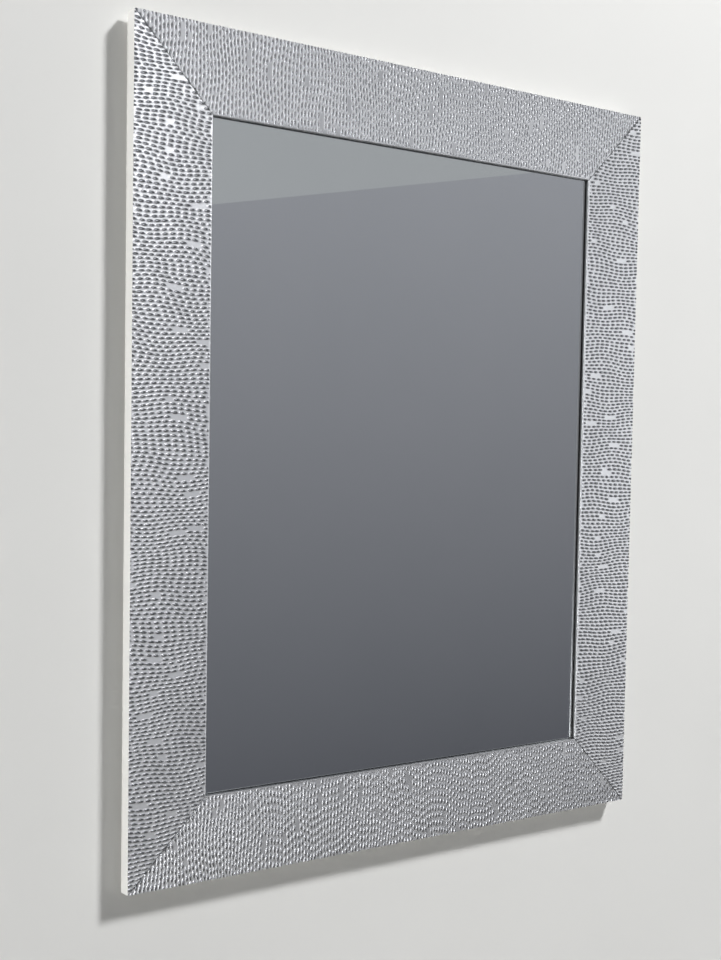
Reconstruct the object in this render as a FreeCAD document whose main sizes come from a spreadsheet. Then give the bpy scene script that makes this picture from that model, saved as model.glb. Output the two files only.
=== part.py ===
import FreeCAD, Part
import math
import operator
import os
from types import SimpleNamespace

import Sketcher

# A wall mirror in a wide flat mitred frame, hung by two strap hangers with wire rings.
# X runs to the right seen from the front, Y into the wall and Z up. The wall is at Y = 0, and the origin lies
# on it, half way between the two points where the rings hang on their hooks.

SIZES = {
    "frame_width": 686,
    "frame_height": 838,
    "moulding_width": 86,
    "moulding_depth": 15,
    "moulding_ease": 1,
    "lip_depth": 4,
    "lip_round": 1.4,
    "foil_thickness": 0.8,
    "rabbet_width": 8,
    "pane_clearance": 1.5,
    "glass_thickness": 3,
    "glass_arris": 0.4,
    "coat_thickness": 0.1,
    "board_thickness": 2.5,
    "tab_width": 10,
    "tab_bite": 7,
    "tab_reach": 12,
    "tab_taper": 3,
    "tab_thickness": 0.6,
    "tab_spacing": 220,
    "nail_leg": 9,
    "nail_thickness": 0.8,
    "nail_height": 8,
    "nail_sink": 0.5,
    "outer_nail_inset": 24,
    "inner_nail_inset": 58,
    "hanger_spacing": 314,
    "hanger_drop": 34,
    "strap_width": 14,
    "strap_length": 34,
    "strap_thickness": 1.2,
    "strap_corner": 5,
    "eye_clearance": 0.1,
    "seam_gap": 0.3,
    "ring_wire": 2,
    "ring_width": 20,
    "ring_reach": 17,
    "ring_bend": 1.8,
    "screw_head": 6.6,
    "screw_head_height": 2,
    "screw_shank": 3.2,
    "screw_length": 11,
    "screw_point": 2,
    "screw_clearance": 0.2,
    "pilot_clearance": 0.05,
    "first_screw_drop": 8,
    "second_screw_drop": 26,
    "bumper_diameter": 12,
    "bumper_height": 6,
    "bumper_bevel": 0.4,
    "bumper_side_inset": 76,
    "bumper_foot_inset": 20,
}


def combine(sign, operation):
    """An operator on lengths that works on their values and writes the same sum in their expressions."""

    def method(self, other):
        other = as_length(other)
        return Length(operation(self.value, other.value), f"({self.text} {sign} {other.text})")

    return method


class Length:
    """A size with its value now and the expression in the sheet that keeps it."""

    def __init__(self, value, text):
        self.value = value
        self.text = text

    __add__ = combine("+", operator.add)
    __sub__ = combine("-", operator.sub)
    __mul__ = combine("*", operator.mul)
    __truediv__ = combine("/", operator.truediv)

    def __neg__(self):
        return self * -1


def as_length(value):
    """A bare number as a length of its own."""
    return value if isinstance(value, Length) else Length(value, repr(value))


size = SimpleNamespace(**{alias: Length(value, f"Sizes.{alias}") for alias, value in SIZES.items()})

# Planes across the frame's depth, from the wall forwards.
back = -size.bumper_height
face = back - size.moulding_depth
ledge = face + size.lip_depth
coat_front = ledge + size.glass_thickness
board_front = coat_front + size.coat_thickness
board_back = board_front + size.board_thickness

# Heights above the hooks. The rings hang on the hooks by the inside of their tops.
eye_level = size.ring_wire / 2 - size.ring_reach
frame_middle = eye_level + size.hanger_drop - size.frame_height / 2

# Radii of the strap's rolled eye.
eye_bore = size.ring_wire / 2 + size.eye_clearance
eye_outside = eye_bore + size.strap_thickness

# Each length of moulding: its side and kind, its turn about Y from the bottom, its own length, the distance of its
# outer edge from the frame's middle, and the places of its tabs in steps of tab_spacing.
MEMBERS = [
    ("bottom", "rail", 0, size.frame_width, size.frame_height / 2, (-0.5, 0.5)),
    ("left", "stile", 90, size.frame_height, size.frame_width / 2, (-1, 0, 1)),
    ("top", "rail", 180, size.frame_width, size.frame_height / 2, (-0.5, 0.5)),
    ("right", "stile", 270, size.frame_height, size.frame_width / 2, (-1, 0, 1)),
]
NAIL_INSETS = (size.outer_nail_inset, size.inner_nail_inset)
SCREW_DROPS = (size.first_screw_drop, size.second_screw_drop)
SIDES = (("left", -1), ("right", 1))
BOTH_ENDS = (-1, 1)
MITRE_MARGIN = 5
TOUCHING = 1e-4

doc = FreeCAD.newDocument("WallMirror")
sheet = doc.addObject("Spreadsheet::Sheet", "Sizes")
for row, (alias, value) in enumerate(SIZES.items(), start=1):
    sheet.set(f"A{row}", alias)
    sheet.set(f"B{row}", str(value))
    sheet.setAlias(f"B{row}", alias)
doc.recompute()


def tie(owner, prop, length):
    """Bind a property to a length's expression in the sheet."""
    owner.setExpression(prop, as_length(length).text)


def new_body(label, base, turn=0):
    """Start a body whose own origin lies at base, turned about Y."""
    body = doc.addObject("PartDesign::Body", label)
    body.Label = label
    body.Placement = FreeCAD.Placement(FreeCAD.Vector(), FreeCAD.Rotation(FreeCAD.Vector(0, 1, 0), turn))
    for axis, length in zip("xyz", base):
        tie(body, f"Placement.Base.{axis}", length)
    return body


def sketch_on(body, plane, offset=0):
    """Start a sketch on one of the body's own planes, moved along the plane's normal."""
    support = next(item for item in body.Origin.OriginFeatures if item.Role == plane)
    sketch = body.newObject("Sketcher::SketchObject", f"{body.Label}_sketch")
    sketch.AttachmentSupport = [(support, "")]
    sketch.MapMode = "FlatFace"
    tie(sketch, "AttachmentOffset.Base.z", offset)
    return sketch


def at(x, y):
    """A point of a sketch at the values that two lengths have now."""
    return FreeCAD.Vector(as_length(x).value, as_length(y).value, 0)


def ring_at(x, y, radius):
    """A circle of a sketch at the values that its lengths have now."""
    return Part.Circle(at(x, y), FreeCAD.Vector(0, 0, 1), as_length(radius).value)


def dimension(sketch, kind, geometry, length):
    """Add a driving dimension that follows a length."""
    index = sketch.addConstraint(Sketcher.Constraint(kind, *geometry, float(as_length(length).value)))
    tie(sketch, f"Constraints[{index}]", length)


def place(sketch, geometry, end, x, y):
    """Fix one point of a sketch by its two distances from the origin."""
    dimension(sketch, "DistanceX", (-1, 1, geometry, end), x)
    dimension(sketch, "DistanceY", (-1, 1, geometry, end), y)


def relate(sketch, relations):
    """Add constraints that have no size."""
    for kind, *geometry in relations:
        sketch.addConstraint(Sketcher.Constraint(kind, *geometry))


def polygon(sketch, corners):
    """Draw a closed outline of straight lines through corners given as pairs of lengths."""
    first = sketch.GeometryCount
    count = len(corners)
    for start, end in zip(corners, corners[1:] + corners[:1]):
        sketch.addGeometry(Part.LineSegment(at(*start), at(*end)))
    relate(sketch, [("Coincident", first + step, 2, first + (step + 1) % count, 1) for step in range(count)])
    for step, (x, y) in enumerate(corners):
        place(sketch, first + step, 1, x, y)


def circle(sketch, x, y, radius):
    """Draw a circle whose centre and radius follow lengths."""
    index = sketch.addGeometry(ring_at(x, y, radius))
    place(sketch, index, 3, x, y)
    dimension(sketch, "Radius", (index,), radius)


def pad(body, sketch, length, symmetric=False, backwards=False):
    """Thicken a sketch, to both sides alike or to one side of its plane."""
    feature = body.newObject("PartDesign::Pad", f"{body.Label}_pad")
    feature.Profile = sketch
    feature.SideType = "Symmetric" if symmetric else "One side"
    feature.Reversed = backwards
    tie(feature, "Length", length)
    doc.recompute()


def pocket(body, sketch, depth=None):
    """Cut a sketch forwards into the body, right through where no depth is given, and see that it cuts."""
    before = body.Shape.Volume
    feature = body.newObject("PartDesign::Pocket", f"{body.Label}_pocket")
    feature.Profile = sketch
    feature.Reversed = True
    if depth is None:
        feature.Type = "ThroughAll"
    else:
        tie(feature, "Length", depth)
    doc.recompute()
    if not body.Shape.Volume < before:
        raise RuntimeError(f"a pocket in {body.Label} cuts nothing")


def revolve(body, sketch):
    """Turn a half outline once round the sketch's upright axis."""
    feature = body.newObject("PartDesign::Revolution", f"{body.Label}_revolution")
    feature.Profile = sketch
    feature.ReferenceAxis = (sketch, ["V_Axis"])
    feature.Angle = 360
    doc.recompute()


def dress(body, kind, prop, length, wanted):
    """Round or bevel the edges of the body for which wanted is true."""
    base = body.Tip
    names = [f"Edge{number}" for number, edge in enumerate(base.Shape.Edges, start=1) if wanted(edge)]
    feature = body.newObject(f"PartDesign::{kind}", f"{body.Label}_{kind.lower()}")
    feature.Base = (base, names)
    tie(feature, prop, length)
    doc.recompute()


def lies_at(**places):
    """A test for edges whose ends have the given coordinates in the body's own frame."""

    def test(edge):
        gaps = [getattr(end.Point, axis) - length.value for end in edge.Vertexes for axis, length in places.items()]
        return all(abs(gap) < TOUCHING for gap in gaps)

    return test


def turned(turn, x, z):
    """Carry a point of the bottom member's plane to the member at that turn."""
    return {0: (x, z), 90: (z, -x), 180: (-x, -z), 270: (-z, x)}[turn]


def member(label, turn, length, reach, section):
    """Extrude a section along one side of the frame and mitre both its ends."""
    body = new_body(label, (0, 0, frame_middle), turn)
    sketch = sketch_on(body, "YZ_Plane")
    polygon(sketch, section)
    pad(body, sketch, length, symmetric=True)
    outer = -reach - MITRE_MARGIN
    inner = -reach + size.moulding_width + MITRE_MARGIN
    far = length / 2 + MITRE_MARGIN
    near = length / 2 - size.moulding_width - MITRE_MARGIN
    ends = sketch_on(body, "XZ_Plane")
    for end in BOTH_ENDS:
        polygon(ends, [(far * end, outer), (far * end, inner), (near * end, inner)])
    pocket(body, ends)
    return body


def core(side, kind, turn, length, reach, tabs):
    """One length of rabbeted moulding, with the slots for its tabs and for the nails across its mitres."""
    outer = -reach
    wall = outer + size.moulding_width - size.rabbet_width
    lip = outer + size.moulding_width - size.foil_thickness
    front = face + size.foil_thickness
    section = [(front, outer), (front, lip), (ledge, lip), (ledge, wall), (back, wall), (back, outer)]
    body = member(f"{side}_{kind}", turn, length, reach, section)
    dress(body, "Fillet", "Radius", size.lip_round - size.foil_thickness, lies_at(y=front, z=lip))
    dress(body, "Fillet", "Radius", size.moulding_ease, lies_at(y=back, z=outer))

    slots = sketch_on(body, "XZ_Plane", -(board_back + size.tab_thickness))
    bottom = wall - size.tab_bite
    for step in tabs:
        low = size.tab_spacing * step - size.tab_width / 2
        high = size.tab_spacing * step + size.tab_width / 2
        polygon(slots, [(low, bottom), (high, bottom), (high, wall), (low, wall)])
    pocket(body, slots, size.tab_thickness)

    slits = sketch_on(body, "XZ_Plane", -back)
    half = size.nail_thickness / 2
    for inset in NAIL_INSETS:
        below = outer + inset - half
        above = outer + inset + half
        for end in BOTH_ENDS:
            apex = (length / 2 - inset + half) * end
            tip = (length / 2 - inset - size.nail_leg) * end
            polygon(slits, [(apex, below), (tip, below), (tip, above), (apex, above)])
    pocket(body, slits, size.nail_height + size.nail_sink)
    return body


def foil(side, turn, length, reach):
    """The foil on one length's face, wrapped over the rounded lip down to the glass."""
    outer = -reach
    lip = outer + size.moulding_width
    under = lip - size.foil_thickness
    rear = face + size.foil_thickness
    section = [(face, outer), (face, lip), (ledge, lip), (ledge, under), (rear, under), (rear, outer)]
    body = member(f"{side}_foil", turn, length, reach, section)
    dress(body, "Fillet", "Radius", size.lip_round - size.foil_thickness, lies_at(y=rear, z=under))
    dress(body, "Fillet", "Radius", size.lip_round, lies_at(y=face, z=lip))
    return body


def pane(label, front, thickness):
    """A sheet that lies in the rabbet with the same clearance all round."""
    body = new_body(label, (0, front, frame_middle))
    margin = size.moulding_width - size.rabbet_width + size.pane_clearance
    right = size.frame_width / 2 - margin
    top = size.frame_height / 2 - margin
    sketch = sketch_on(body, "XZ_Plane")
    polygon(sketch, [(-right, -top), (right, -top), (right, top), (-right, top)])
    pad(body, sketch, thickness, backwards=True)
    return body


def mirror_glass():
    """The pane of glass, with all its edges lightly bevelled."""
    body = pane("mirror_glass", ledge, size.glass_thickness)
    dress(body, "Chamfer", "Size", size.glass_arris, lambda edge: True)
    return body


def retaining_tabs():
    """Steel tabs with tapered ends, pressed into the rabbet's walls against the back of the board."""
    body = new_body("retaining_tabs", (0, 0, frame_middle))
    sketch = sketch_on(body, "XZ_Plane", -board_back)
    for _, _, turn, _, reach, tabs in MEMBERS:
        wall = -reach + size.moulding_width - size.rabbet_width
        root = wall - size.tab_bite
        tip = wall + size.tab_reach
        shoulder = tip - size.tab_taper
        for step in tabs:
            low = size.tab_spacing * step - size.tab_width / 2
            high = size.tab_spacing * step + size.tab_width / 2
            leaf = [(low, root), (high, root), (high, shoulder)]
            leaf += [(high - size.tab_taper, tip), (low + size.tab_taper, tip), (low, shoulder)]
            polygon(sketch, [turned(turn, x, z) for x, z in leaf])
    pad(body, sketch, size.tab_thickness, backwards=True)
    return body


def corner_nails():
    """V-shaped nails driven across the mitres, with one leg along each of the two lengths that meet."""
    body = new_body("corner_nails", (0, 0, frame_middle))
    sketch = sketch_on(body, "XZ_Plane", size.nail_sink - back)
    half = size.nail_thickness / 2
    for _, _, turn, length, reach, _ in MEMBERS:
        for inset in NAIL_INSETS:
            x = inset - length / 2
            z = inset - reach
            vee = [(x - half, z - half), (x + size.nail_leg, z - half), (x + size.nail_leg, z + half)]
            vee += [(x + half, z + half), (x + half, z + size.nail_leg), (x - half, z + size.nail_leg)]
            polygon(sketch, [turned(turn, along, inward) for along, inward in vee])
    pad(body, sketch, size.nail_height)
    return body


def eye_place(sign):
    """The middle of one hanger's eye."""
    return size.hanger_spacing / 2 * sign, back + eye_outside, eye_level


def hanger_strap(side, sign):
    """A steel strap rolled into an eye at its top, with a rounded lower end and two screw holes."""
    body = new_body(f"{side}_hanger_strap", eye_place(sign))
    seam_side = size.seam_gap - eye_bore
    seam = -math.acos(seam_side.value / eye_outside.value)
    foot_level = -size.strap_length
    rolls = [Part.ArcOfCircle(ring_at(0, 0, radius), seam, math.pi) for radius in (eye_outside, eye_bore)]
    sketch = sketch_on(body, "YZ_Plane")
    outer_leg, outer_roll, seam_end, inner_roll, inner_leg, foot = sketch.addGeometry([
        Part.LineSegment(at(-eye_outside, foot_level), at(-eye_outside, 0)),
        rolls[0],
        Part.LineSegment(rolls[1].StartPoint, rolls[0].StartPoint),
        rolls[1],
        Part.LineSegment(at(-eye_bore, 0), at(-eye_bore, foot_level)),
        Part.LineSegment(at(-eye_bore, foot_level), at(-eye_outside, foot_level)),
    ])
    relate(sketch, [
        ("Coincident", outer_roll, 3, -1, 1),
        ("Coincident", inner_roll, 3, -1, 1),
        ("Tangent", outer_leg, 2, outer_roll, 2),
        ("Tangent", inner_leg, 1, inner_roll, 2),
        ("Coincident", seam_end, 1, inner_roll, 1),
        ("Coincident", seam_end, 2, outer_roll, 1),
        ("PointOnObject", -1, 1, seam_end),
        ("Coincident", inner_leg, 2, foot, 1),
        ("Coincident", foot, 2, outer_leg, 1),
        ("Vertical", outer_leg),
        ("Vertical", inner_leg),
        ("Horizontal", foot),
    ])
    dimension(sketch, "Radius", (outer_roll,), eye_outside)
    dimension(sketch, "Radius", (inner_roll,), eye_bore)
    dimension(sketch, "DistanceY", (-1, 1, outer_leg, 1), foot_level)
    dimension(sketch, "DistanceX", (-1, 1, outer_roll, 1), seam_side)
    pad(body, sketch, size.strap_width, symmetric=True)

    holes = sketch_on(body, "XZ_Plane")
    for drop in SCREW_DROPS:
        circle(holes, 0, -drop, size.screw_shank / 2 + size.screw_clearance)
    pocket(body, holes)
    for end in BOTH_ENDS:
        dress(body, "Fillet", "Radius", size.strap_corner, lies_at(x=size.strap_width / 2 * end, z=foot_level))
    return body


def hanger_ring(side, sign):
    """A square wire ring: a straight bar through the eye, two legs and a straight top, with four alike bends."""
    body = new_body(f"{side}_hanger_ring", eye_place(sign))
    bend = size.ring_bend
    top = size.ring_reach
    half = size.ring_width / 2
    bar = half - bend
    leg = top - bend
    quarter = math.pi / 2
    middles = [(bar, bend), (bar, leg), (-bar, leg), (-bar, bend)]
    bends = [
        Part.ArcOfCircle(ring_at(x, z, bend), quarter * (turn - 1), quarter * turn)
        for turn, (x, z) in enumerate(middles)
    ]
    path = sketch_on(body, "XZ_Plane")
    steps = path.addGeometry([
        Part.LineSegment(at(0, 0), at(bar, 0)),
        bends[0],
        Part.LineSegment(at(half, bend), at(half, leg)),
        bends[1],
        Part.LineSegment(at(bar, top), at(-bar, top)),
        bends[2],
        Part.LineSegment(at(-half, leg), at(-half, bend)),
        bends[3],
        Part.LineSegment(at(-bar, 0), at(0, 0)),
    ])
    bar_right, _, right_leg, _, crown, _, left_leg, _, bar_left = steps
    relate(path, [("Tangent", step, 2, following, 1) for step, following in zip(steps, steps[1:])])
    relate(path, [
        ("Coincident", bar_right, 1, -1, 1),
        ("Coincident", bar_left, 2, -1, 1),
        ("Horizontal", bar_right),
        ("Vertical", right_leg),
        ("Horizontal", crown),
        ("Vertical", left_leg),
        ("Horizontal", bar_left),
    ])
    for corner in steps[1::2]:
        dimension(path, "Radius", (corner,), bend)
    dimension(path, "DistanceX", (-1, 1, right_leg, 1), half)
    dimension(path, "DistanceX", (-1, 1, left_leg, 1), -half)
    dimension(path, "DistanceY", (-1, 1, crown, 1), top)

    wire = sketch_on(body, "YZ_Plane")
    circle(wire, 0, 0, size.ring_wire / 2)
    doc.recompute()
    ring = body.newObject("PartDesign::AdditivePipe", f"{body.Label}_pipe")
    ring.Profile = wire
    ring.Spine = (path, [f"Edge{number + 1}" for number in range(path.GeometryCount)])
    doc.recompute()
    return body


def screw(label, sign, drop):
    """A pan-head wood screw whose head sits on the strap."""
    x, _, z = eye_place(sign)
    body = new_body(label, (x, back + size.strap_thickness, z - drop))
    head = size.screw_head / 2
    shank = size.screw_shank / 2
    top = size.screw_head_height
    tip = -size.screw_length
    sketch = sketch_on(body, "XY_Plane")
    polygon(sketch, [(0, top), (head, top), (head, 0), (shank, 0), (shank, tip + size.screw_point), (0, tip)])
    revolve(body, sketch)
    return body


def hanger_screws(side, sign):
    """The two screws of one strap, kept together as separate solids."""
    group = doc.addObject("Part::Compound", f"{side}_hanger_screws")
    group.Links = [screw(f"{side}_screw", sign, drop) for drop in SCREW_DROPS]
    doc.recompute()
    return group


def pilot_holes(rail):
    """Drill the top rail for the screws of both hangers."""
    sketch = sketch_on(rail, "XZ_Plane", -back)
    level = size.hanger_drop - size.frame_height / 2
    for _, sign in SIDES:
        for drop in SCREW_DROPS:
            circle(sketch, size.hanger_spacing / 2 * sign, level + drop, size.screw_shank / 2 + size.pilot_clearance)
    pocket(rail, sketch, size.screw_length - size.strap_thickness + size.pilot_clearance)


def bumper(side, sign):
    """A rubber bumper stuck to the back of the bottom rail, its bevelled end against the wall."""
    x = (size.frame_width / 2 - size.bumper_side_inset) * sign
    z = frame_middle - size.frame_height / 2 + size.bumper_foot_inset
    body = new_body(f"{side}_bumper", (x, back, z))
    radius = size.bumper_diameter / 2
    sketch = sketch_on(body, "XY_Plane")
    polygon(sketch, [(0, 0), (radius, 0), (radius, size.bumper_height), (0, size.bumper_height)])
    revolve(body, sketch)
    dress(body, "Chamfer", "Size", size.bumper_bevel, lies_at(y=size.bumper_height))
    return body


nodes = []
for side, kind, turn, length, reach, tabs in MEMBERS:
    rail = core(side, kind, turn, length, reach, tabs)
    if side == "top":
        pilot_holes(rail)
    nodes += [rail, foil(side, turn, length, reach)]
nodes += [mirror_glass(), pane("silver_coat", coat_front, size.coat_thickness)]
nodes += [pane("backing_board", board_front, size.board_thickness), retaining_tabs(), corner_nails()]
for side, sign in SIDES:
    nodes += [hanger_strap(side, sign), hanger_ring(side, sign), hanger_screws(side, sign), bumper(side, sign)]
doc.recompute()

for item in doc.Objects:
    if "Invalid" in item.State or "Error" in item.State:
        raise RuntimeError(f"{item.Label} failed: {item.State}")
for node in nodes:
    if node.Shape.isNull() or not node.Shape.isValid() or not node.Shape.Solids:
        raise RuntimeError(f"{node.Label} has no valid solid")

os.makedirs("parts", exist_ok=True)
for node in nodes:
    node.Shape.exportStep(f"parts/{node.Label}.step")
    print(node.Label, len(node.Shape.Solids), "solids,", round(node.Shape.Volume), "cubic mm")
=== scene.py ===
import math

import bpy
import numpy as np
from mathutils import Matrix, Vector


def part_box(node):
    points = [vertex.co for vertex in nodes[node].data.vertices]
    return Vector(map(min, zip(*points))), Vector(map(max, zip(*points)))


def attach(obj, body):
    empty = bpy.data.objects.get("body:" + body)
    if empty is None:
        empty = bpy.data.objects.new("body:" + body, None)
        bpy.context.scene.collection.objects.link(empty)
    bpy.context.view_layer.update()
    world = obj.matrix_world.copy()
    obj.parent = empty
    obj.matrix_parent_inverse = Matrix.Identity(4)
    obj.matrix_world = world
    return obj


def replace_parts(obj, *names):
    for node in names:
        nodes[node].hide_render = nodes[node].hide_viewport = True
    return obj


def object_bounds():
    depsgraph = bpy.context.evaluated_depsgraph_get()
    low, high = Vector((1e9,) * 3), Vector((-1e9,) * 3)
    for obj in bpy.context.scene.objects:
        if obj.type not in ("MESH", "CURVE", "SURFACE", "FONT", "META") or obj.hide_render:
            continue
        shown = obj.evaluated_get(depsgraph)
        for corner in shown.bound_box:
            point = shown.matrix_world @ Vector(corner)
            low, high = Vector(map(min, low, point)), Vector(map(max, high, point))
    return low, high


# Looks for a wall mirror in a wide flat frame faced with beaded silver foil.
# Metres, with X to the right, Y into the wall and Z up.
# Settings are in millimetres and degrees, unless a note says otherwise.
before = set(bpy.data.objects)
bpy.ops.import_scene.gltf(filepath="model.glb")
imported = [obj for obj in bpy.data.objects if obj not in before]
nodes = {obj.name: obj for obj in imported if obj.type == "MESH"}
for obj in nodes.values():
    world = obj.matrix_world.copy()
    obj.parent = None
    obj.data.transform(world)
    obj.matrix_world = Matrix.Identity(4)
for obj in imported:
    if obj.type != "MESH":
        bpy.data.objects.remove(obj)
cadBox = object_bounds()
mm = 0.001
print("frame loaded:", len(nodes), "nodes")


def linear(hexText):
    # sRGB to linear light: a straight line near black, and the 2.4 power curve above it
    srgb = np.array([int(hexText[at:at + 2], 16) for at in (0, 2, 4)]) / 255
    rgb = np.where(srgb <= 0.04045, srgb / 12.92, ((srgb + 0.055) / 1.055) ** 2.4)
    return (*rgb.tolist(), 1.0)


def addNode(tree, kind, inputs=None, **settings):
    # one node with its settings, whose inputs are set to values or linked to other nodes' outputs
    node = tree.nodes.new(kind)
    for name, value in settings.items():
        setattr(node, name, value)
    for name, value in (inputs or {}).items():
        if isinstance(value, bpy.types.NodeSocket):
            tree.links.new(value, node.inputs[name])
        else:
            node.inputs[name].default_value = value
    return node


def newMaterial(name):
    # an empty material and its node tree
    material = bpy.data.materials.new(name)
    material.use_nodes = True
    material.node_tree.nodes.clear()
    return material, material.node_tree


def newMesh(name, points, faces, material, crease=40):
    # points in millimetres and faces as index lists become one smooth object, whose edges stay crisp where
    # they bend by more than the crease
    mesh = bpy.data.meshes.new(name)
    mesh.from_pydata((np.asarray(points) * mm).tolist(), [], faces)
    mesh.polygons.foreach_set("use_smooth", np.ones(len(mesh.polygons), bool))
    mesh.set_sharp_from_angle(angle=math.radians(crease))
    mesh.materials.append(material)
    mesh.update()
    piece = bpy.data.objects.new(name, mesh)
    bpy.context.scene.collection.objects.link(piece)
    return piece


def sectionFaces(index):
    # each row of indices is one closed section: cells join it to the next row, with four corners, or three
    # where two of them are one point, and an end face shuts the first and the last section
    beside = np.roll(index, -1, axis=1)
    cells = np.stack([index[:-1], index[1:], beside[1:], beside[:-1]], -1).reshape(-1, 4)
    shutHere = cells[:, 0] == cells[:, 1]
    shutBeside = cells[:, 2] == cells[:, 3]
    faces = cells[~shutHere & ~shutBeside].tolist()
    faces += cells[shutHere & ~shutBeside][:, [0, 2, 3]].tolist()
    faces += cells[~shutHere & shutBeside][:, [0, 1, 2]].tolist()
    return faces + [index[0].tolist(), index[-1][::-1].tolist()]


def dressNode(name, material):
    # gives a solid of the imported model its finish
    slots = nodes[name].data.materials
    slots.clear()
    slots.append(material)


def boxOf(name):
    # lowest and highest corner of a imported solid, in millimetres
    low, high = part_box(name)
    return np.array(low) / mm, np.array(high) / mm


# Silver foil: hot-stamped aluminium film. It gives a pale satin ground with a fine grain and glossier beads.
# The beads' darker tone is painted shade, for the darker surroundings their tops reflect, and the slightly
# darker return to the glass at the sight edge is painted shade in the rabbet.
foilFinish = {
    # the beads' tone is painted shade: darker than the ground, standing in for the dark surroundings their
    # tops reflect
    "bead": "989a9e",
    "ground": "e6e7ea",
    # the return's darker tone is painted shade, for the shade in the rabbet between the lip and the glass
    "return": "c4c6c9",
    "rim": (0.05, 0.5),     # shares of a bead's height between which the ground's tone turns to the bead's
    "dull": 0.32,           # roughness of the ground
    "smooth": 0.18,         # roughness of a bead
    "grain": 0.7,
    "tooth": 0.004,         # height of the grain
    "toothStrength": 0.25,
}
silverFoil, tree = newMaterial("embossed_silver_foil")
place = addNode(tree, "ShaderNodeTexCoord")
relief = addNode(tree, "ShaderNodeAttribute", attribute_name="relief")
grain = addNode(tree, "ShaderNodeTexNoise", {
    "Vector": place.outputs["Object"], "Scale": 1 / (foilFinish["grain"] * mm), "Detail": 2.0})
onBead = addNode(tree, "ShaderNodeMapRange", {
    "Value": relief.outputs["Fac"], "From Min": foilFinish["rim"][0], "From Max": foilFinish["rim"][1]})
# painted shade: the tone darkens from the ground's to the bead's as a bead rises
tone = addNode(tree, "ShaderNodeMix", {
    "Factor": onBead.outputs["Result"],
    "A": linear(foilFinish["ground"]), "B": linear(foilFinish["bead"])}, data_type="RGBA")
sightEdge = addNode(tree, "ShaderNodeAttribute", attribute_name="sightEdge")
# painted shade: the tone turns darker on the return to the glass
toned = addNode(tree, "ShaderNodeMix", {
    "Factor": sightEdge.outputs["Fac"],
    "A": tone.outputs["Result"], "B": linear(foilFinish["return"])}, data_type="RGBA")
sheen = addNode(tree, "ShaderNodeMapRange", {
    "Value": onBead.outputs["Result"], "To Min": foilFinish["dull"], "To Max": foilFinish["smooth"]})
tooth = addNode(tree, "ShaderNodeBump", {
    "Height": grain.outputs["Fac"], "Strength": foilFinish["toothStrength"],
    "Distance": foilFinish["tooth"] * mm})
surface = addNode(tree, "ShaderNodeBsdfPrincipled", {
    "Base Color": toned.outputs["Result"], "Metallic": 1.0, "Roughness": sheen.outputs["Result"],
    "Normal": tooth.outputs["Normal"]})
addNode(tree, "ShaderNodeOutputMaterial", {"Surface": surface.outputs["BSDF"]})

# The foil on one side of the frame. Rows of beads cross the moulding, from its outer to its sight edge.
foil = {
    "rowPitch": 4.1,        # from row to row, along the moulding
    "beadPitch": 8.3,       # from bead to bead, along a row
    "beadWidth": 2.25,
    "beadLength": 7.7,
    "relief": 0.64,         # height of a bead above the flat ground
    "point": 2.8,           # lower draws the ends of a bead out to points
    "fullness": 0.5,        # lower is flatter on top and steeper at the rim
    "unevenness": 0.14,     # share by which beads differ in size
    "drift": 0.5,           # how much of that share they also stray along the row, in pitches
    "islandRows": 5,        # one flat island in this many rows
    "islandBeads": 2,       # beads left out for an island, at most
    "waves": (              # swing of the rows, and its wavelengths across and along the moulding
        (1.5, 125, 150), (0.6, 63, -95), (1.5, 2000, 210)),
    "rowLines": (           # where a row is sampled, in pitches from its middle and closest at the rims
        -0.5, -0.3, -0.23, -0.09, 0.09, 0.23, 0.3),
    "beadSteps": 5.7,       # samples in a bead's pitch
    "fade": 0.8,            # the beads sink into the face over this width beside the lip
    "lipRound": 1.4,
    "lipSteps": 4,
    "returnStart": 1 / 3,   # share of the lip's bend where the tone starts to turn to the return's
    "skin": 0.79,           # thickness over the moulding
    "mitreGap": 0.6,        # the open joint at each corner
    "crease": 50,
}


def beadHeight(across, along, seed):
    # a bead is a lens, whose outline is 1 minus a power of the distance along the row in bead halves; its
    # height is the outline's square less the square of the distance across the row, to a power that sets
    # how full the top is
    source = np.random.default_rng(seed)
    row = np.floor(along / foil["rowPitch"]).astype(int)
    offRow = along / foil["rowPitch"] - row - 0.5
    row -= row.min()
    rows = row.max() + 1
    step = across / foil["beadPitch"] + source.random(rows)[row]
    bead = np.floor(step).astype(int)
    offBead = step - bead - 0.5
    beads = bead.max() + 1
    uneven = 1 + source.uniform(-1, 1, (4, rows, beads)) * foil["unevenness"]
    start = source.integers(0, beads, rows)
    end = start + source.integers(1, foil["islandBeads"] + 1, rows)
    islandRow = source.integers(0, foil["islandRows"], rows)[row // foil["islandRows"]]
    island = (row % foil["islandRows"] == islandRow) & (bead >= start[row]) & (bead < end[row])
    length, width, swell, stray = uneven[:, row, bead]
    offBead += foil["drift"] * (stray - 1)
    tip = 2 * np.abs(offBead) * foil["beadPitch"] / (foil["beadLength"] * length)
    flank = 2 * np.abs(offRow) * foil["rowPitch"] / (foil["beadWidth"] * np.sqrt(width))
    outline = np.clip(1 - tip ** foil["point"], 0, 1)
    cap = np.clip(outline ** 2 - flank ** 2, 0, 1) ** foil["fullness"]
    return np.where(island, 0, cap * np.minimum(swell, 1))


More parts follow.
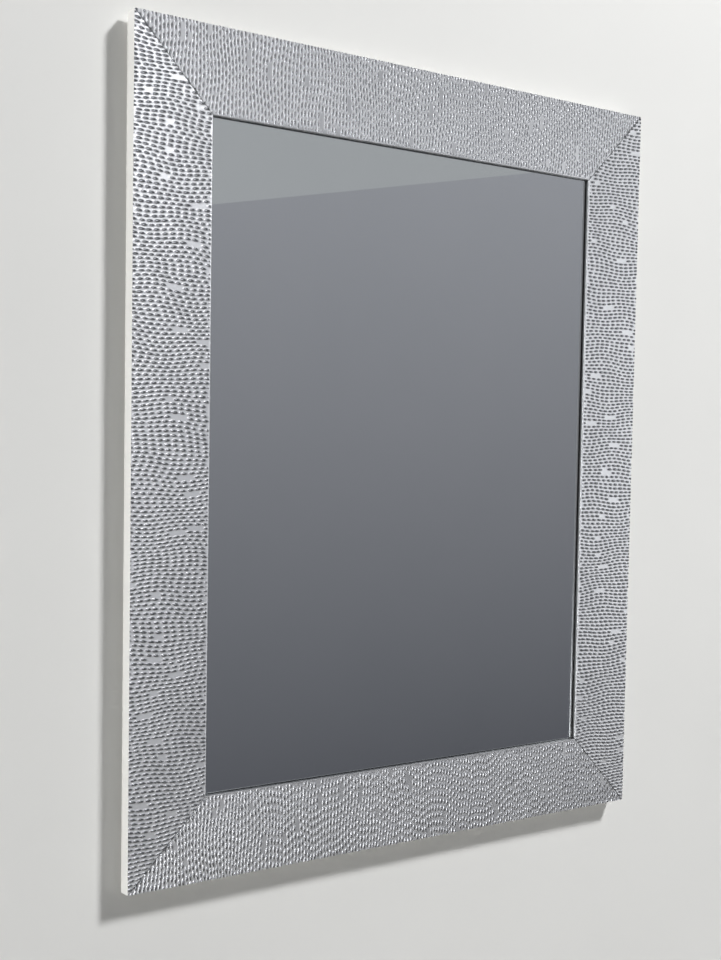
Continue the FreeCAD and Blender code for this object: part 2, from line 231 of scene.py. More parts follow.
def foilSection(width, depth):
    # the film's closed section: straight over the face, a quarter turn round the lip whose radius grows by
    # the relief, the return to the glass, and back along the inside of the film; with each point's share of
    # beads and of return
    lipRound, lift, skin = foil["lipRound"], foil["relief"], foil["skin"]
    lip, inner, midBend = width - lipRound, lipRound - skin, math.pi / 4
    face = np.linspace(0, lip, round(lip / foil["beadPitch"] * foil["beadSteps"]) + 1)
    bend = np.linspace(0, math.pi / 2, foil["lipSteps"] + 1)[1:]
    bent = bend / bend[-1]
    bendRadius = lipRound - lift * (1 - bent)
    insideAcross = [width, width - skin, width - skin, lip + inner * math.sin(midBend), lip, 0]
    insideSunk = [depth, depth, lipRound, lipRound - inner * math.cos(midBend), skin, skin]
    across = np.concatenate([face, lip + bendRadius * np.sin(bend), insideAcross])
    sunk = np.concatenate([np.full(len(face), lift), lipRound - bendRadius * np.cos(bend), insideSunk])
    beaded = np.zeros(len(across))
    beaded[:len(face)] = np.clip((lip - face) / foil["fade"], 0, 1)
    returned = np.ones(len(across))
    returned[:len(face)] = 0
    start = foil["returnStart"]
    returned[len(face):len(face) + len(bend)] = np.clip((bent - start) / (1 - start), 0, 1)
    return across, sunk, beaded, returned


def foilSkin(side, turn, seed):
    # the section is carried along the moulding in steps that follow the swaying rows, a bead's height comes
    # off its depth, and every column of points stops at the mitre
    low, high = boxOf(side + "_foil")
    size = high - low
    upright = turn in (90, 270)
    length, width = (size[2], size[0]) if upright else (size[0], size[2])
    across, sunk, beaded, returned = foilSection(width, size[1])
    swing = sum(wave[0] for wave in foil["waves"])
    half = math.ceil((length / 2 + swing) / foil["rowPitch"])
    middles = np.arange(-half, half)[:, None] + 0.5
    lines = (middles + np.array(foil["rowLines"])).ravel() * foil["rowPitch"]
    rowLine, acrossGrid = np.meshgrid(lines, across, indexing="ij")
    source = np.random.default_rng(seed)
    sway = sum(
        height * np.sin(2 * math.pi * (acrossGrid / wide + rowLine / long + source.random()))
        for height, wide, long in foil["waves"])
    limit = length / 2 - acrossGrid - foil["mitreGap"] / math.sqrt(2)
    along = np.clip(rowLine + sway, -limit, limit)
    height = beadHeight(acrossGrid, along - sway, seed) * beaded
    deep = low[1] + sunk - foil["relief"] * height

    # every point past a mitre is the end point of its own column
    index = np.arange(along.size).reshape(along.shape)
    index = np.where(along <= -limit, index[0], np.where(along >= limit, index[-1], index))
    used = np.unique(index)
    renumber = np.zeros(along.size, int)
    renumber[used] = np.arange(len(used))
    faces = sectionFaces(renumber[index])

    # the bottom side runs to the right with its sight edge up, and the others are that one turned about Y
    first, last = np.array(cadBox) / mm
    centre, reach = (first + last) / 2, (last - first) / 2
    cos, sin = round(math.cos(math.radians(turn))), round(math.sin(math.radians(turn)))
    flat = acrossGrid - (reach[0] if upright else reach[2])
    x = centre[0] + along * cos + flat * sin
    z = centre[2] + flat * cos - along * sin
    points = np.stack([x, deep, z], -1).reshape(-1, 3)[used]
    piece = newMesh(side + "Foil", points, faces, silverFoil, foil["crease"])
    for name, share in (("relief", height), ("sightEdge", np.broadcast_to(returned, height.shape))):
        attribute = piece.data.attributes.new(name, "FLOAT", "POINT")
        attribute.data.foreach_set("value", share.ravel()[used].astype(np.float32))
    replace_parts(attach(piece, "frame"), side + "_foil")
    print(side, "foil:", len(used), "points,", len(faces), "faces")


for side, turn, seed in (("bottom", 0, 11), ("left", 90, 23), ("top", 180, 37), ("right", 270, 41)):
    foilSkin(side, turn, seed)

# Painted shade: a dark strip that stands in for the shade down in the open joint between the foils at each
# mitre.
shadeStripTone = {"deepShade": "17171a", "dusty": "2c2c2f", "mottle": 3, "rough": 0.9}
jointShade, tree = newMaterial("mitre_joint_shade")
place = addNode(tree, "ShaderNodeTexCoord")
mottle = addNode(tree, "ShaderNodeTexNoise", {
    "Vector": place.outputs["Object"], "Scale": 1 / (shadeStripTone["mottle"] * mm)})
# the strip's dark tone is painted shade for the open joint
tone = addNode(tree, "ShaderNodeMix", {
    "Factor": mottle.outputs["Fac"],
    "A": linear(shadeStripTone["deepShade"]), "B": linear(shadeStripTone["dusty"])}, data_type="RGBA")
surface = addNode(tree, "ShaderNodeBsdfPrincipled", {
    "Base Color": tone.outputs["Result"], "Roughness": shadeStripTone["rough"]})
addNode(tree, "ShaderNodeOutputMaterial", {"Surface": surface.outputs["BSDF"]})

# A thin strip of painted shade under the open joint at each corner, from beside the outer corner down over
# the lip.
joint = {
    "width": 1.0,
    "rise": 0.03,           # thickness, above the moulding
    "start": 0.5,           # inwards from the outer edges
    "foot": 0.2,            # clear of the glass
    "lipSteps": 6,
}


def mitreJoints():
    # the section's line, a skin's depth under the face, is carried along the diagonal of each corner, and a
    # flat rectangle follows it
    low, high = boxOf("left_foil")
    width, depth = high[0] - low[0], high[1] - low[1]
    inner = foil["lipRound"] - foil["skin"] + joint["rise"]
    lip = width - foil["lipRound"]
    bend = np.linspace(0, math.pi / 2, joint["lipSteps"] + 1)
    across = np.concatenate([[joint["start"]], lip + inner * np.sin(bend), [lip + inner]])
    onFace, atGlass = foil["skin"] - joint["rise"], depth - joint["foot"]
    sunk = np.concatenate([[onFace], foil["lipRound"] - inner * np.cos(bend), [atGlass]])
    outward = np.concatenate([[0], np.sin(bend), [1]])[:, None]
    aside = np.array([-1, 1, 1, -1]) * joint["width"] / 2 / math.sqrt(2)
    back = np.array([0, 0, 1, 1]) * joint["rise"]
    along = across[:, None] - back * outward
    deep = low[1] + sunk[:, None] + back * np.sqrt(1 - outward ** 2)
    index = np.arange(along.size).reshape(along.shape)
    points, faces = [], []
    corners = np.array(cadBox) / mm
    for right in (0, 1):
        for top in (0, 1):
            toX, toZ = 1 - 2 * right, 1 - 2 * top
            x = corners[right][0] + toX * (along + aside)
            z = corners[top][2] + toZ * (along - aside)
            cornerFaces = sectionFaces(index + len(points) * index.size)
            faces += [face[::-1] for face in cornerFaces] if toX == toZ else cornerFaces
            points.append(np.stack([x, deep, z], -1).reshape(-1, 3))
    piece = newMesh("mitreJoints", np.concatenate(points), faces, jointShade)
    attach(piece, "frame")
    print("mitre joints:", len(faces), "faces")


mitreJoints()

# White melamine on fibreboard: pressed on smooth, so it gives a clean satin white with a faint orange peel.
whiteFinish = {
    "clean": "f3f2ee", "grey": "e9e8e4", "patch": 45, "sheen": (0.38, 0.5),
    "peel": 1.3, "lift": 0.02, "liftStrength": 0.3,
}
whiteMoulding, tree = newMaterial("white_melamine")
place = addNode(tree, "ShaderNodeTexCoord")
patch = addNode(tree, "ShaderNodeTexNoise", {
    "Vector": place.outputs["Object"], "Scale": 1 / (whiteFinish["patch"] * mm), "Detail": 3.0})
peel = addNode(tree, "ShaderNodeTexNoise", {
    "Vector": place.outputs["Object"], "Scale": 1 / (whiteFinish["peel"] * mm), "Detail": 1.0})
tone = addNode(tree, "ShaderNodeMix", {
    "Factor": patch.outputs["Fac"],
    "A": linear(whiteFinish["clean"]), "B": linear(whiteFinish["grey"])}, data_type="RGBA")
sheen = addNode(tree, "ShaderNodeMapRange", {
    "Value": patch.outputs["Fac"], "To Min": whiteFinish["sheen"][0], "To Max": whiteFinish["sheen"][1]})
lift = addNode(tree, "ShaderNodeBump", {
    "Height": peel.outputs["Fac"], "Strength": whiteFinish["liftStrength"],
    "Distance": whiteFinish["lift"] * mm})
surface = addNode(tree, "ShaderNodeBsdfPrincipled", {
    "Base Color": tone.outputs["Result"], "Roughness": sheen.outputs["Result"],
    "Normal": lift.outputs["Normal"]})
addNode(tree, "ShaderNodeOutputMaterial", {"Surface": surface.outputs["BSDF"]})
for name in ("top_rail", "bottom_rail", "left_stile", "right_stile"):
    dressNode(name, whiteMoulding)

# Float glass: clear with a faint green body, and wiped so that its gloss varies a little.
glassFinish = {"body": "fcfdfd", "refraction": 1.52, "wipe": 60, "haze": 0.012}
clearGlass, tree = newMaterial("clear_float_glass")
place = addNode(tree, "ShaderNodeTexCoord")
wipe = addNode(tree, "ShaderNodeTexNoise", {
    "Vector": place.outputs["Object"], "Scale": 1 / (glassFinish["wipe"] * mm), "Detail": 3.0})
sheen = addNode(tree, "ShaderNodeMapRange", {
    "Value": wipe.outputs["Fac"], "To Min": 0.0, "To Max": glassFinish["haze"]})
surface = addNode(tree, "ShaderNodeBsdfPrincipled", {
    "Base Color": linear(glassFinish["body"]), "Roughness": sheen.outputs["Result"],
    "IOR": glassFinish["refraction"], "Transmission Weight": 1.0})
addNode(tree, "ShaderNodeOutputMaterial", {"Surface": surface.outputs["BSDF"]})

# The pane, a hair thinner than its solid so that the silvering behind it has a face of its own.
pane = {"arris": 0.4, "hair": 0.03, "crease": 20}


def glassPane():
    # four rectangles, inset at the front, full behind the arris, full before the back one and inset at the
    # back, joined by walls and closed at both ends
    low, high = boxOf("mirror_glass")
    inset = np.array([pane["arris"], 0, 0, pane["arris"]])
    back = high[1] - pane["hair"]
    deep = np.array([low[1], low[1] + pane["arris"], back - pane["arris"], back])
    left, right = low[0] + inset, high[0] - inset
    foot, head = low[2] + inset, high[2] - inset
    x = np.stack([left, right, right, left], -1)
    z = np.stack([foot, foot, head, head], -1)
    points = np.stack([x, np.broadcast_to(deep[:, None], x.shape), z], -1).reshape(-1, 3)
    faces = sectionFaces(np.arange(x.size).reshape(x.shape))
    piece = newMesh("glassPane", points, faces, clearGlass, pane["crease"])
    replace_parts(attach(piece, "frame"), "mirror_glass")
    print("glass pane:", len(faces), "faces")


glassPane()

# Silvering: chemically deposited silver, a near perfect mirror with the slightest cool cast and drift.
silverFinish = {"bright": "f7f8f8", "faint": "f1f3f3", "drift": 150}
silvering, tree = newMaterial("mirror_silvering")
place = addNode(tree, "ShaderNodeTexCoord")
drift = addNode(tree, "ShaderNodeTexNoise", {
    "Vector": place.outputs["Object"], "Scale": 1 / (silverFinish["drift"] * mm)})
tone = addNode(tree, "ShaderNodeMix", {
    "Factor": drift.outputs["Fac"],
    "A": linear(silverFinish["bright"]), "B": linear(silverFinish["faint"])}, data_type="RGBA")
surface = addNode(tree, "ShaderNodeBsdfPrincipled", {
    "Base Color": tone.outputs["Result"], "Metallic": 1.0, "Roughness": 0.0})
addNode(tree, "ShaderNodeOutputMaterial", {"Surface": surface.outputs["BSDF"]})
dressNode("silver_coat", silvering)

# Hardboard: pressed wood fibre, brown with paler and darker flecks, and with the press screen's mesh
# printed in its back.
boardFinish = {
    "dark": "5b3d28", "pale": "8a6544", "fleck": 1.6, "stain": 35, "spread": (0.04, 0.46), "rough": 0.82,
    "mesh": 2.4, "print": 0.12, "printStrength": 0.6,
}
hardboard, tree = newMaterial("pressed_hardboard")
place = addNode(tree, "ShaderNodeTexCoord")
fleck = addNode(tree, "ShaderNodeTexNoise", {
    "Vector": place.outputs["Object"], "Scale": 1 / (boardFinish["fleck"] * mm),
    "Detail": 5.0, "Roughness": 0.7})
stain = addNode(tree, "ShaderNodeTexNoise", {
    "Vector": place.outputs["Object"], "Scale": 1 / (boardFinish["stain"] * mm), "Detail": 3.0})
blend = addNode(tree, "ShaderNodeMath", {
    0: fleck.outputs["Fac"], 1: stain.outputs["Fac"]}, operation="MULTIPLY")
spread = addNode(tree, "ShaderNodeMapRange", {
    "Value": blend.outputs["Value"],
    "From Min": boardFinish["spread"][0], "From Max": boardFinish["spread"][1]})
tone = addNode(tree, "ShaderNodeMix", {
    "Factor": spread.outputs["Result"],
    "A": linear(boardFinish["dark"]), "B": linear(boardFinish["pale"])}, data_type="RGBA")
# a wave's bands repeat 20 / (2 pi) times as often as its scale says
bandScale = 2 * math.pi / 20 / (boardFinish["mesh"] * mm)
warp = addNode(tree, "ShaderNodeTexWave", {
    "Vector": place.outputs["Object"], "Scale": bandScale}, bands_direction="X")
weft = addNode(tree, "ShaderNodeTexWave", {
    "Vector": place.outputs["Object"], "Scale": bandScale}, bands_direction="Z")
screen = addNode(tree, "ShaderNodeMath", {
    0: warp.outputs["Fac"], 1: weft.outputs["Fac"]}, operation="MULTIPLY")
screenPrint = addNode(tree, "ShaderNodeBump", {
    "Height": screen.outputs["Value"], "Strength": boardFinish["printStrength"],
    "Distance": boardFinish["print"] * mm})
surface = addNode(tree, "ShaderNodeBsdfPrincipled", {
    "Base Color": tone.outputs["Result"], "Roughness": boardFinish["rough"],
    "Normal": screenPrint.outputs["Normal"]})
addNode(tree, "ShaderNodeOutputMaterial", {"Surface": surface.outputs["BSDF"]})
dressNode("backing_board", hardboard)

# Plain steel strip is grey and a little dull. Zinc plate is brighter, with a cool mottle of fine crystals.
steels = {
    "plain_steel_strip": {
        "bright": "b4b4b2", "dull": "7d7c79", "mottle": 4, "sheen": (0.34, 0.5), "scratch": 0.8},
    "nail_steel": {
        "bright": "a2a19e", "dull": "6a6966", "mottle": 3, "sheen": (0.36, 0.52), "scratch": 0.7},
    "zinc_plated_strap": {
        "bright": "cfd3d6", "dull": "a3a8ad", "mottle": 2.2, "sheen": (0.24, 0.4), "scratch": 0.6},
    "zinc_plated_wire": {
        "bright": "d6d9da", "dull": "a9adb0", "mottle": 1.4, "sheen": (0.18, 0.32), "scratch": 0.5},
    "zinc_plated_screw": {
        "bright": "cbcfd0", "dull": "9da1a3", "mottle": 1.2, "sheen": (0.22, 0.36), "scratch": 0.4},
}
scratchLift = {"depth": 0.01, "strength": 0.15}


def steelFinish(name):
    # two greys by a mottle of cells, with fine scratches that roughen and lift the surface
    steel = steels[name]
    material, tree = newMaterial(name)
    place = addNode(tree, "ShaderNodeTexCoord")
    cell = addNode(tree, "ShaderNodeTexVoronoi", {
        "Vector": place.outputs["Object"], "Scale": 1 / (steel["mottle"] * mm)})
    fine = addNode(tree, "ShaderNodeTexNoise", {
        "Vector": place.outputs["Object"], "Scale": 1 / (steel["scratch"] * mm), "Detail": 3.0})
    mix = addNode(tree, "ShaderNodeMath", {
        0: cell.outputs["Distance"], 1: fine.outputs["Fac"]}, operation="MULTIPLY")
    tone = addNode(tree, "ShaderNodeMix", {
        "Factor": mix.outputs["Value"],
        "A": linear(steel["bright"]), "B": linear(steel["dull"])}, data_type="RGBA")
    sheen = addNode(tree, "ShaderNodeMapRange", {
        "Value": mix.outputs["Value"], "To Min": steel["sheen"][0], "To Max": steel["sheen"][1]})
    lift = addNode(tree, "ShaderNodeBump", {
        "Height": fine.outputs["Fac"], "Strength": scratchLift["strength"],
        "Distance": scratchLift["depth"] * mm})
    surface = addNode(tree, "ShaderNodeBsdfPrincipled", {
        "Base Color": tone.outputs["Result"], "Metallic": 1.0, "Roughness": sheen.outputs["Result"],
        "Normal": lift.outputs["Normal"]})
    addNode(tree, "ShaderNodeOutputMaterial", {"Surface": surface.outputs["BSDF"]})
    return material


dressNode("retaining_tabs", steelFinish("plain_steel_strip"))
dressNode("corner_nails", steelFinish("nail_steel"))
strapZinc = steelFinish("zinc_plated_strap")
wireZinc = steelFinish("zinc_plated_wire")
screwZinc = steelFinish("zinc_plated_screw")
for side in ("left", "right"):
    dressNode(side + "_hanger_strap", strapZinc)
    dressNode(side + "_hanger_ring", wireZinc)
print("board, silvering and steel dressed")


def turnedGrid(radius, level, steps):
    # a profile of radii and levels is turned once about Y, which makes one ring of points of each pair
    angle = np.arange(steps) * 2 * math.pi / steps
    x = radius[:, None] * np.cos(angle)
    y = np.repeat(level[:, None], steps, 1)
    z = radius[:, None] * np.sin(angle)
    return np.stack([x, y, z], -1), np.arange(x.size).reshape(x.shape)


# Pan-head wood screws with a cross recess. The two in a strap are one piece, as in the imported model.
screws = {
    "head": 3.3,            # radius, as the shank's is
    "headHeight": 2,
    "headEdge": 0.15,       # chamfer under the head
    "crown": 0.8,           # height of the domed part
    "crownCurve": 0.8,      # lower makes the dome squarer
    "crownRings": 18,
    "shank": 1.6,
    "point": 2,
    "tip": 0.05,            # radius of the small flat at the point
    "middle": 0.02,         # and of the one that closes the crown
    "slotLength": 1.9,      # from the middle of the cross
    "slotWidth": 0.42,
    "slotDepth": 1.2,
    "slotTaper": 0.18,      # width over which a slot's side goes down
    "slotRun": 0.5,         # length over which its end does
    "steps": 64,
    "crease": 35,
}


def hangerScrews(side):
    # the profile runs up the point and shank, out under the head and over its crown, much like an ellipse's
    # quarter, and the recess goes down where the smaller of the two distances from the cross's arms is
    # inside a tapering slot
    low, high = boxOf(side + "_hanger_screws")
    head, shank, edge = screws["head"], screws["shank"], screws["headEdge"]
    top, base, neck = high[1], high[1] - screws["headHeight"], low[1] + screws["point"]
    sweep = np.linspace(0, math.pi / 2, screws["crownRings"])
    crownRadius = head * np.cos(sweep) ** screws["crownCurve"]
    crownRadius[-1] = screws["middle"]
    crownLevel = top - screws["crown"] * (1 - np.sin(sweep))
    radius = np.concatenate([[screws["tip"], shank, shank, head - edge, head], crownRadius])
    level = np.concatenate([[low[1], neck, base, base, base + edge], crownLevel])
    grid, index = turnedGrid(radius, level, screws["steps"])
    arm = np.minimum(np.abs(grid[..., 0]), np.abs(grid[..., 2]))
    far = np.maximum(np.abs(grid[..., 0]), np.abs(grid[..., 2]))
    inWidth = np.clip((screws["slotWidth"] - arm) / screws["slotTaper"], 0, 1)
    inLength = np.clip((screws["slotLength"] - far) / screws["slotRun"], 0, 1)
    grid[-screws["crownRings"]:, :, 1] -= (inWidth * inLength * screws["slotDepth"])[-screws["crownRings"]:]
    one = grid.reshape(-1, 3)
    x = (low[0] + high[0]) / 2
    points = np.concatenate([one + (x, 0, z) for z in (low[2] + head, high[2] - head)])
    faces = sectionFaces(index) + sectionFaces(index + index.size)
    piece = newMesh(side + "HangerScrews", points, faces, screwZinc, screws["crease"])
    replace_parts(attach(piece, "frame"), side + "_hanger_screws")
    print(side, "hanger screws:", len(faces), "faces")


for side in ("left", "right"):
    hangerScrews(side)

# Black rubber: moulded and matt, with a fine pebble and a bloom of paler dust.
rubberFinish = {
    "black": "141415", "bloom": "2b2b2c", "dust": 3, "rough": 0.72,
    "pebble": 0.35, "lift": 0.05, "liftStrength": 0.3,
}
blackRubber, tree = newMaterial("black_rubber")
place = addNode(tree, "ShaderNodeTexCoord")
dust = addNode(tree, "ShaderNodeTexNoise", {
    "Vector": place.outputs["Object"], "Scale": 1 / (rubberFinish["dust"] * mm), "Detail": 4.0})
pebble = addNode(tree, "ShaderNodeTexNoise", {
    "Vector": place.outputs["Object"], "Scale": 1 / (rubberFinish["pebble"] * mm)})
tone = addNode(tree, "ShaderNodeMix", {
    "Factor": dust.outputs["Fac"],
    "A": linear(rubberFinish["black"]), "B": linear(rubberFinish["bloom"])}, data_type="RGBA")
lift = addNode(tree, "ShaderNodeBump", {
    "Height": pebble.outputs["Fac"], "Strength": rubberFinish["liftStrength"],
    "Distance": rubberFinish["lift"] * mm})
surface = addNode(tree, "ShaderNodeBsdfPrincipled", {
    "Base Color": tone.outputs["Result"], "Roughness": rubberFinish["rough"],
    "Normal": lift.outputs["Normal"]})
addNode(tree, "ShaderNodeOutputMaterial", {"Surface": surface.outputs["BSDF"]})

# Round rubber bumpers with a soft edge against the wall.
bumper = {
    "edge": 1.6,            # radius of the soft edge
    "edgeSteps": 8,
    "chamfer": 0.2,         # where the bumper meets the rail
    "middle": 0.1,          # radius of the small flat that closes the end
    "steps": 64,
    "crease": 40,
}


def wallBumper(side):
    # a straight side, a quarter circle over the edge and a flat end, turned about the bumper's middle
    low, high = boxOf(side + "_bumper")
    full, edge, chamfer = (high[0] - low[0]) / 2, bumper["edge"], bumper["chamfer"]
    sweep = np.linspace(0, math.pi / 2, bumper["edgeSteps"])
    flatEnd = [(full - edge) / 2, bumper["middle"]]
    radius = np.concatenate([[full - chamfer, full], full - edge * (1 - np.cos(sweep)), flatEnd])
    level = np.concatenate([
        [low[1], low[1] + chamfer], high[1] - edge * (1 - np.sin(sweep)), np.full(len(flatEnd), high[1])])
    grid, index = turnedGrid(radius, level, bumper["steps"])
    points = grid.reshape(-1, 3) + ((low[0] + high[0]) / 2, 0, (low[2] + high[2]) / 2)
    faces = sectionFaces(index)
    piece = newMesh(side + "Bumper", points, faces, blackRubber, bumper["crease"])
    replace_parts(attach(piece, "frame"), side + "_bumper")
    print(side, "bumper:", len(faces), "faces")


for side in ("left", "right"):
    wallBumper(side)

# The stage, in metres: a pale floor and a pale wall behind the mirror.
stage = {
    "floorLevel": -1.92, "floorReach": 6.0, "wallReach": 2.6, "wallTop": 1.4, "wallGap": 0.0006,
    "lines": 9,             # of points along each edge of a sheet
}


def stageSheet(name, corner, first, second, material):
    # a flat grid spanned by two edges from one corner
    share = np.linspace(0, 1, stage["lines"])
    u, v = np.meshgrid(share, share, indexing="ij")
    points = np.array(corner) + u[..., None] * np.array(first) + v[..., None] * np.array(second)
    index = np.arange(u.size).reshape(u.shape)
    cells = np.stack([index[:-1, :-1], index[1:, :-1], index[1:, 1:], index[:-1, 1:]], -1).reshape(-1, 4)
    sheet = newMesh(name, points.reshape(-1, 3) / mm, cells.tolist(), material)
    return sheet


# Painted wall and floor: matt and pale. Seen from behind the wall is clear, so the back of the frame shows.
stageFinish = {
    "wall": "eeeeec", "wallShade": "e6e6e4", "floor": "dad8d3", "floorShade": "d0cec9",
    "cloud": 400, "rough": 0.85,
}
pale = {}
for name in ("wall", "floor"):
    pale[name], tree = newMaterial("pale_" + name)
    place = addNode(tree, "ShaderNodeTexCoord")
    cloud = addNode(tree, "ShaderNodeTexNoise", {
        "Vector": place.outputs["Object"], "Scale": 1 / (stageFinish["cloud"] * mm)})
    tone = addNode(tree, "ShaderNodeMix", {
        "Factor": cloud.outputs["Fac"],
        "A": linear(stageFinish[name]), "B": linear(stageFinish[name + "Shade"])}, data_type="RGBA")
    surface = addNode(tree, "ShaderNodeBsdfPrincipled", {
        "Base Color": tone.outputs["Result"], "Roughness": stageFinish["rough"]})
    shown = surface.outputs["BSDF"]
    if name == "wall":
        clear = addNode(tree, "ShaderNodeBsdfTransparent")
        behind = addNode(tree, "ShaderNodeNewGeometry")
        shown = addNode(tree, "ShaderNodeMixShader", {
            "Fac": behind.outputs["Backfacing"], 1: shown, 2: clear.outputs["BSDF"]}).outputs["Shader"]
    addNode(tree, "ShaderNodeOutputMaterial", {"Surface": shown})
reach, floorLevel = stage["floorReach"], stage["floorLevel"]
stageSheet("floor", (-reach, -reach, floorLevel), (2 * reach, 0, 0), (0, 2 * reach, 0), pale["floor"])
wide, tall = stage["wallReach"], stage["wallTop"] - floorLevel
wall = stageSheet("wall", (-wide, stage["wallGap"], floorLevel), (2 * wide, 0, 0), (0, 0, tall), pale["wall"])
wall.visible_shadow = False

# Studio cards that only reflections see: a pale backdrop, two grey cards before it for the glass, a dark
# one above them for the top rail, a white one beside them, and dark flags to the right and below that give
# the beads their dark sides. Each has a corner and two edges in metres, the tones where its second edge
# starts and ends, and a strength of glow.
cards = {
    "backdrop": {
        "corner": (-0.95, -4.2, -1.9), "first": (8.45, 0, 0), "second": (0, 0, 5.5),
        "low": "bcbdc0", "high": "f4f5f6", "glow": 1.2},
    "paleCard": {
        "corner": (3.95, -3.65, 0.0), "first": (-2.15, 0, 0), "second": (0, 0, 2.4),
        "low": "a2a4a7", "high": "aaacaf", "glow": 1.0},
    "greyCard": {
        "corner": (3.95, -3.6, -1.8), "first": (-2.15, 0, -0.42), "second": (0, 0, 2.72),
        "low": "5a5b61", "high": "9a9ba1", "glow": 1.0},
    "topCard": {
        "corner": (3.95, -3.55, 0.9), "first": (-2.05, 0, 0), "second": (0, 0, 1.6),
        "low": "3c3e42", "high": "4c4e52", "glow": 1.0},
    "whiteCard": {
        "corner": (3.97, -3.6, -1.8), "first": (2.6, 0, 0), "second": (0, 0, 3.4),
        "low": "f4f5f6", "high": "f4f5f6", "glow": 2.0},
    "rightFlag": {
        "corner": (1.6, -0.05, -1.92), "first": (4.4, -1.95, 0), "second": (0, 0, 4.0),
        "low": "242426", "high": "2c2c2f", "glow": 1.0},
    "lowFlag": {
        "corner": (-2.5, -0.3, -1.25), "first": (5.0, 0, 0), "second": (0, -1.3, -0.66),
        "low": "444447", "high": "4c4c50", "glow": 1.0},
}
for name, card in cards.items():
    foot, head = card["corner"][2], card["corner"][2] + card["second"][2]
    cardTone, tree = newMaterial(name)
    place = addNode(tree, "ShaderNodeTexCoord")
    split = addNode(tree, "ShaderNodeSeparateXYZ", {"Vector": place.outputs["Object"]})
    climb = addNode(tree, "ShaderNodeMapRange", {
        "Value": split.outputs["Z"], "From Min": foot, "From Max": head})
    tone = addNode(tree, "ShaderNodeMix", {
        "Factor": climb.outputs["Result"],
        "A": linear(card["low"]), "B": linear(card["high"])}, data_type="RGBA")
    glow = addNode(tree, "ShaderNodeEmission", {"Color": tone.outputs["Result"], "Strength": card["glow"]})
    addNode(tree, "ShaderNodeOutputMaterial", {"Surface": glow.outputs["Emission"]})
    sheet = stageSheet(name, card["corner"], card["first"], card["second"], cardTone)
    sheet.visible_camera = False
    sheet.visible_diffuse = False
    sheet.visible_shadow = False

# Soft panels: place, the point they face, width and height in metres, and power in watts. A panel lights
# everything, only some things, or all but some. The stiles' one shines along their rows and the rails' one
# on the flanks of theirs, and the wall's throws the frame's shadow to the left and down.
mirror = ("glassPane", "silver_coat")
stiles, rails = ("leftFoil", "rightFoil"), ("topFoil", "bottomFoil")
panels = {
    "keyPanel": {
        "place": (1.0, -1.2, 2.0), "aim": (0, 0, -0.4), "size": (0.6, 0.6), "power": 16,
        "skips": ("wall", *mirror, *stiles, *rails)},
    "stilePanel": {
        "place": (0.5, -2.0, 0.5), "aim": (-0.3, 0, 0.5), "size": (0.3, 0.4), "power": 2.8, "only": stiles},
    "railPanel": {
        "place": (-0.3, -2.0, 0.45), "aim": (0, 0, -0.2), "size": (0.2, 0.2), "power": 2.4, "only": rails},
    "frontPanel": {
        "place": (-0.3, -2.0, -1.2), "aim": (0, 0, -0.5), "size": (0.4, 0.4), "power": 4,
        "skips": ("wall", *mirror)},
    "sidePanel": {
        "place": (-2.6, -0.25, -0.4), "aim": (0, 0, -0.4), "size": (0.3, 1.6), "power": 31,
        "skips": ("wall", *mirror)},
    "backPanel": {
        "place": (0.9, 2.6, 0.9), "aim": (0, 0, -0.4), "size": (1.8, 1.8), "power": 40},
    "wallPanel": {
        "place": (2.6, -3.2, 3.7), "aim": (0, 0, -0.4), "size": (0.8, 0.8), "power": 345, "only": ("wall",)},
}
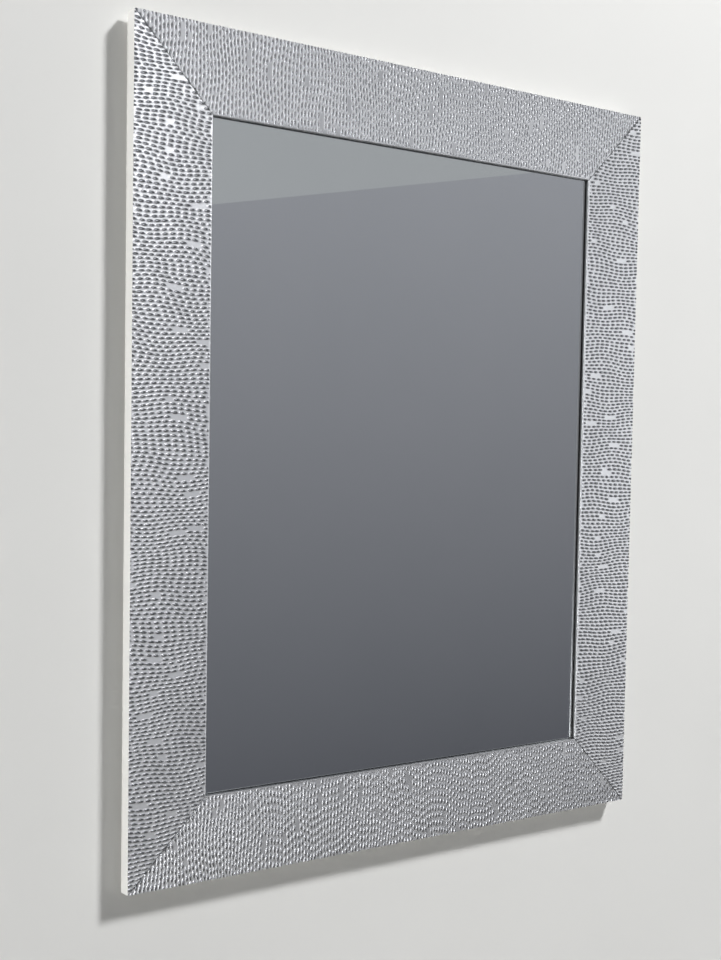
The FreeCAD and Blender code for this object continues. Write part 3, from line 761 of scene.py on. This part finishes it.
for name, panel in panels.items():
    lamp = bpy.data.lights.new(name, "AREA")
    lamp.shape = "RECTANGLE"
    lamp.size, lamp.size_y = panel["size"]
    lamp.energy = panel["power"]
    lit = bpy.data.objects.new(name, lamp)
    towards = Vector(panel["aim"]) - Vector(panel["place"])
    facing = towards.to_track_quat("-Z", "Y").to_matrix().to_4x4()
    lit.matrix_world = Matrix.Translation(panel["place"]) @ facing
    bpy.context.scene.collection.objects.link(lit)
    chosen = panel.get("only") or panel.get("skips")
    if chosen:
        group = bpy.data.collections.new(name + "Group")
        for piece in chosen:
            group.objects.link(nodes.get(piece) or bpy.data.objects[piece])
        for member in group.collection_objects:
            member.light_linking.link_state = "INCLUDE" if "only" in panel else "EXCLUDE"
        lit.light_linking.receiver_collection = group

# A soft room, bright around and darker overhead, with the change between two heights on a unit sphere.
room = {"around": "f4f5f6", "overhead": "d8dade", "turn": (0.15, 0.75), "strength": 0.28}
world = bpy.data.worlds.new("softRoom")
world.use_nodes = True
tree = world.node_tree
tree.nodes.clear()
place = addNode(tree, "ShaderNodeTexCoord")
split = addNode(tree, "ShaderNodeSeparateXYZ", {"Vector": place.outputs["Generated"]})
climb = addNode(tree, "ShaderNodeMapRange", {
    "Value": split.outputs["Z"], "From Min": room["turn"][0], "From Max": room["turn"][1]})
tone = addNode(tree, "ShaderNodeMix", {
    "Factor": climb.outputs["Result"],
    "A": linear(room["around"]), "B": linear(room["overhead"])}, data_type="RGBA")
sky = addNode(tree, "ShaderNodeBackground", {"Color": tone.outputs["Result"], "Strength": room["strength"]})
addNode(tree, "ShaderNodeOutputWorld", {"Surface": sky.outputs["Background"]})
bpy.context.scene.world = world
bpy.context.scene.view_settings.view_transform = "Standard"
print("stage and lights set")

# Camera at the photograph's viewing angle. Its place is in metres, and its rise is a share of the picture.
view = {
    "place": (-0.9819, -1.2373, -0.3801), "yaw": 36.81, "pitch": -3.28, "roll": 0.97,
    "lens": 53.87, "sensor": 36, "rise": 0.0454,
}
yaw, pitch, roll = (math.radians(view[name]) for name in ("yaw", "pitch", "roll"))
forward = Vector((math.sin(yaw) * math.cos(pitch), math.cos(yaw) * math.cos(pitch), math.sin(pitch)))
level = Vector((math.cos(yaw), -math.sin(yaw), 0))
upright = level.cross(forward)
turned = Matrix((
    level * math.cos(roll) + upright * math.sin(roll),
    upright * math.cos(roll) - level * math.sin(roll),
    -forward))
camera = bpy.data.objects.new("camera", bpy.data.cameras.new("camera"))
camera.matrix_world = Matrix.Translation(view["place"]) @ turned.transposed().to_4x4()
camera.data.sensor_width = view["sensor"]
camera.data.lens = view["lens"]
camera.data.shift_y = view["rise"]
bpy.context.scene.collection.objects.link(camera)
bpy.context.scene.camera = camera
